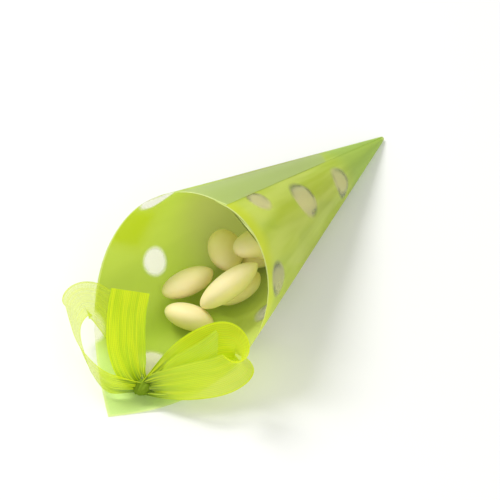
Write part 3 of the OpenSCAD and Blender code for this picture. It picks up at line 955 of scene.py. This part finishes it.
class CONEBAG_OT_almonds(bpy.types.Operator):
    """Build each sugared almond where its solid lies"""

    bl_idname = "conebag.almonds"
    bl_label = "Sugared Almonds"

    def execute(self, context):
        almonds = context.scene.cone_almonds
        tree = almond_tree()
        coat = almond_material()
        for number, node in enumerate(ALMOND_NODES, start=1):
            middle, turn, sizes = resting_place(node)
            width, length, thickness = (float(size) for size in sizes)
            sweet = new_object(node + "_coated", bpy.data.meshes.new(node))
            shape = sweet.modifiers.new("shape", "NODES")
            shape.node_group = tree
            set_inputs(
                shape, width=width, length=length, thickness=thickness, taper=almonds.taper,
                lump_height=almonds.lump_height, seed=float(number), material=coat)
            as_plain_mesh(sweet)
            sweet.data.transform(Matrix.Translation(middle) @ turn.to_4x4())
            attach(sweet, "root")
            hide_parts(node)
        return {"FINISHED"}


# Stage

# The floor lies a hair below the film, so that the two never share a plane
FLOOR_HEIGHT = -0.15 * MM
FLOOR_REACH = 3.0


def floor_material():
    """White painted board. It shows a little brighter than it is lit, and keeps its shadows."""
    material, tree = new_material("white_painted_board")
    add = partial(add_node, tree)
    paint = add(PRINCIPLED, ("Base Color", linear("#dfdfdc")), ("Roughness", 0.9))
    light = add("ShaderNodeEmission", ("Color", linear(WHITE)), ("Strength", 0.13))
    brighter = add("ShaderNodeAddShader", paint, light)
    rays = add("ShaderNodeLightPath", give=None)
    seen = add(MATHS, rays["Is Camera Ray"], rays["Is Glossy Ray"], operation="MAXIMUM")
    seen = add(MATHS, seen, rays["Is Transmission Ray"], operation="MAXIMUM")
    shown = add(SHADER_MIX, seen, paint, brighter)
    add("ShaderNodeOutputMaterial", ("Surface", shown), give=None)
    return material


def add_lamp(name, place, size, power):
    """A square lamp that is turned towards the origin."""
    data = bpy.data.lights.new(name, "AREA")
    data.shape = "SQUARE"
    data.size = size
    data.energy = power
    lamp = bpy.data.objects.new(name, data)
    lamp.location = place
    lamp.rotation_euler = (-Vector(place)).to_track_quat("-Z", "Y").to_euler()
    bpy.context.scene.collection.objects.link(lamp)


class CONEBAG_OT_camera(bpy.types.Operator):
    """Set the camera at the angle that the object is viewed from"""

    bl_idname = "conebag.camera"
    bl_label = "Camera"

    def execute(self, context):
        stage = context.scene.cone_stage
        data = bpy.data.cameras.new("camera")
        data.lens = stage.lens
        data.clip_start = 0.05
        data.clip_end = 20
        camera = bpy.data.objects.new("camera", data)
        camera.location = stage.camera_place
        way = Vector(stage.camera_aim) - Vector(stage.camera_place)
        roll = Quaternion((0, 0, 1), stage.camera_roll)
        camera.rotation_euler = (way.to_track_quat("-Z", "Y") @ roll).to_euler()
        context.scene.collection.objects.link(camera)
        context.scene.camera = camera
        return {"FINISHED"}


class CONEBAG_OT_stage(bpy.types.Operator):
    """Lay the white floor and set the soft lights"""

    bl_idname = "conebag.stage"
    bl_label = "Stage"

    def execute(self, context):
        scene, stage = context.scene, context.scene.cone_stage
        scene.view_settings.view_transform = "Standard"
        mesh = bpy.data.meshes.new("floor")
        corners = ((-1, -1), (1, -1), (1, 1), (-1, 1))
        mesh.from_pydata(
            [(x * FLOOR_REACH, y * FLOOR_REACH, FLOOR_HEIGHT) for x, y in corners], [], [(0, 1, 2, 3)])
        floor = bpy.data.objects.new("floor", mesh)
        mesh.materials.append(floor_material())
        scene.collection.objects.link(floor)

        # The world lights evenly, and a camera ray that meets nothing sees plain white
        world = bpy.data.worlds.new("world")
        scene.world = world
        world.use_nodes = True
        world.node_tree.nodes.clear()
        add = partial(add_node, world.node_tree)
        even, white = (
            add("ShaderNodeBackground", ("Color", linear(WHITE)), ("Strength", strength))
            for strength in (stage.world_strength, 1.0))
        rays = add("ShaderNodeLightPath", give=None)
        sky = add(SHADER_MIX, rays["Is Camera Ray"], even, white)
        add("ShaderNodeOutputWorld", ("Surface", sky), give=None)
        add_lamp("key_light", (-0.62, 0.02, 0.87), 0.45, stage.key_power)
        add_lamp("fill_light", (0.50, -0.55, 0.45), 0.6, stage.fill_power)
        return {"FINISHED"}


# Panel and registration

SETTINGS = {
    "cone_film": FilmSettings, "cone_ribbon": RibbonSettings,
    "cone_almonds": AlmondSettings, "cone_stage": StageSettings,
}
OPERATORS = (CONEBAG_OT_camera, CONEBAG_OT_stage, CONEBAG_OT_almonds, CONEBAG_OT_film, CONEBAG_OT_ribbon)


class CONEBAG_PT_panel(bpy.types.Panel):
    """Lists the settings and the pieces"""

    bl_idname = "CONEBAG_PT_panel"
    bl_label = "Cone Bag"
    bl_space_type = "VIEW_3D"
    bl_region_type = "UI"
    bl_category = "Cone Bag"

    def draw(self, context):
        for name in SETTINGS:
            group = getattr(context.scene, name)
            box = self.layout.box()
            for setting in group.__annotations__:
                box.prop(group, setting)
        for operator in OPERATORS:
            self.layout.operator(operator.bl_idname)


CLASSES = (*SETTINGS.values(), CONEBAG_PT_panel, *OPERATORS)


def register():
    for item in CLASSES:
        bpy.utils.register_class(item)
    for name, group in SETTINGS.items():
        setattr(bpy.types.Scene, name, bpy.props.PointerProperty(type=group))


def unregister():
    for name in SETTINGS:
        delattr(bpy.types.Scene, name)
    for item in reversed(CLASSES):
        bpy.utils.unregister_class(item)


def main():
    register()
    bpy.ops.conebag.camera()
    bpy.ops.conebag.stage()
    bpy.ops.conebag.almonds()
    bpy.ops.conebag.film()
    bpy.ops.conebag.ribbon()


if __name__ == "__main__":
    main()
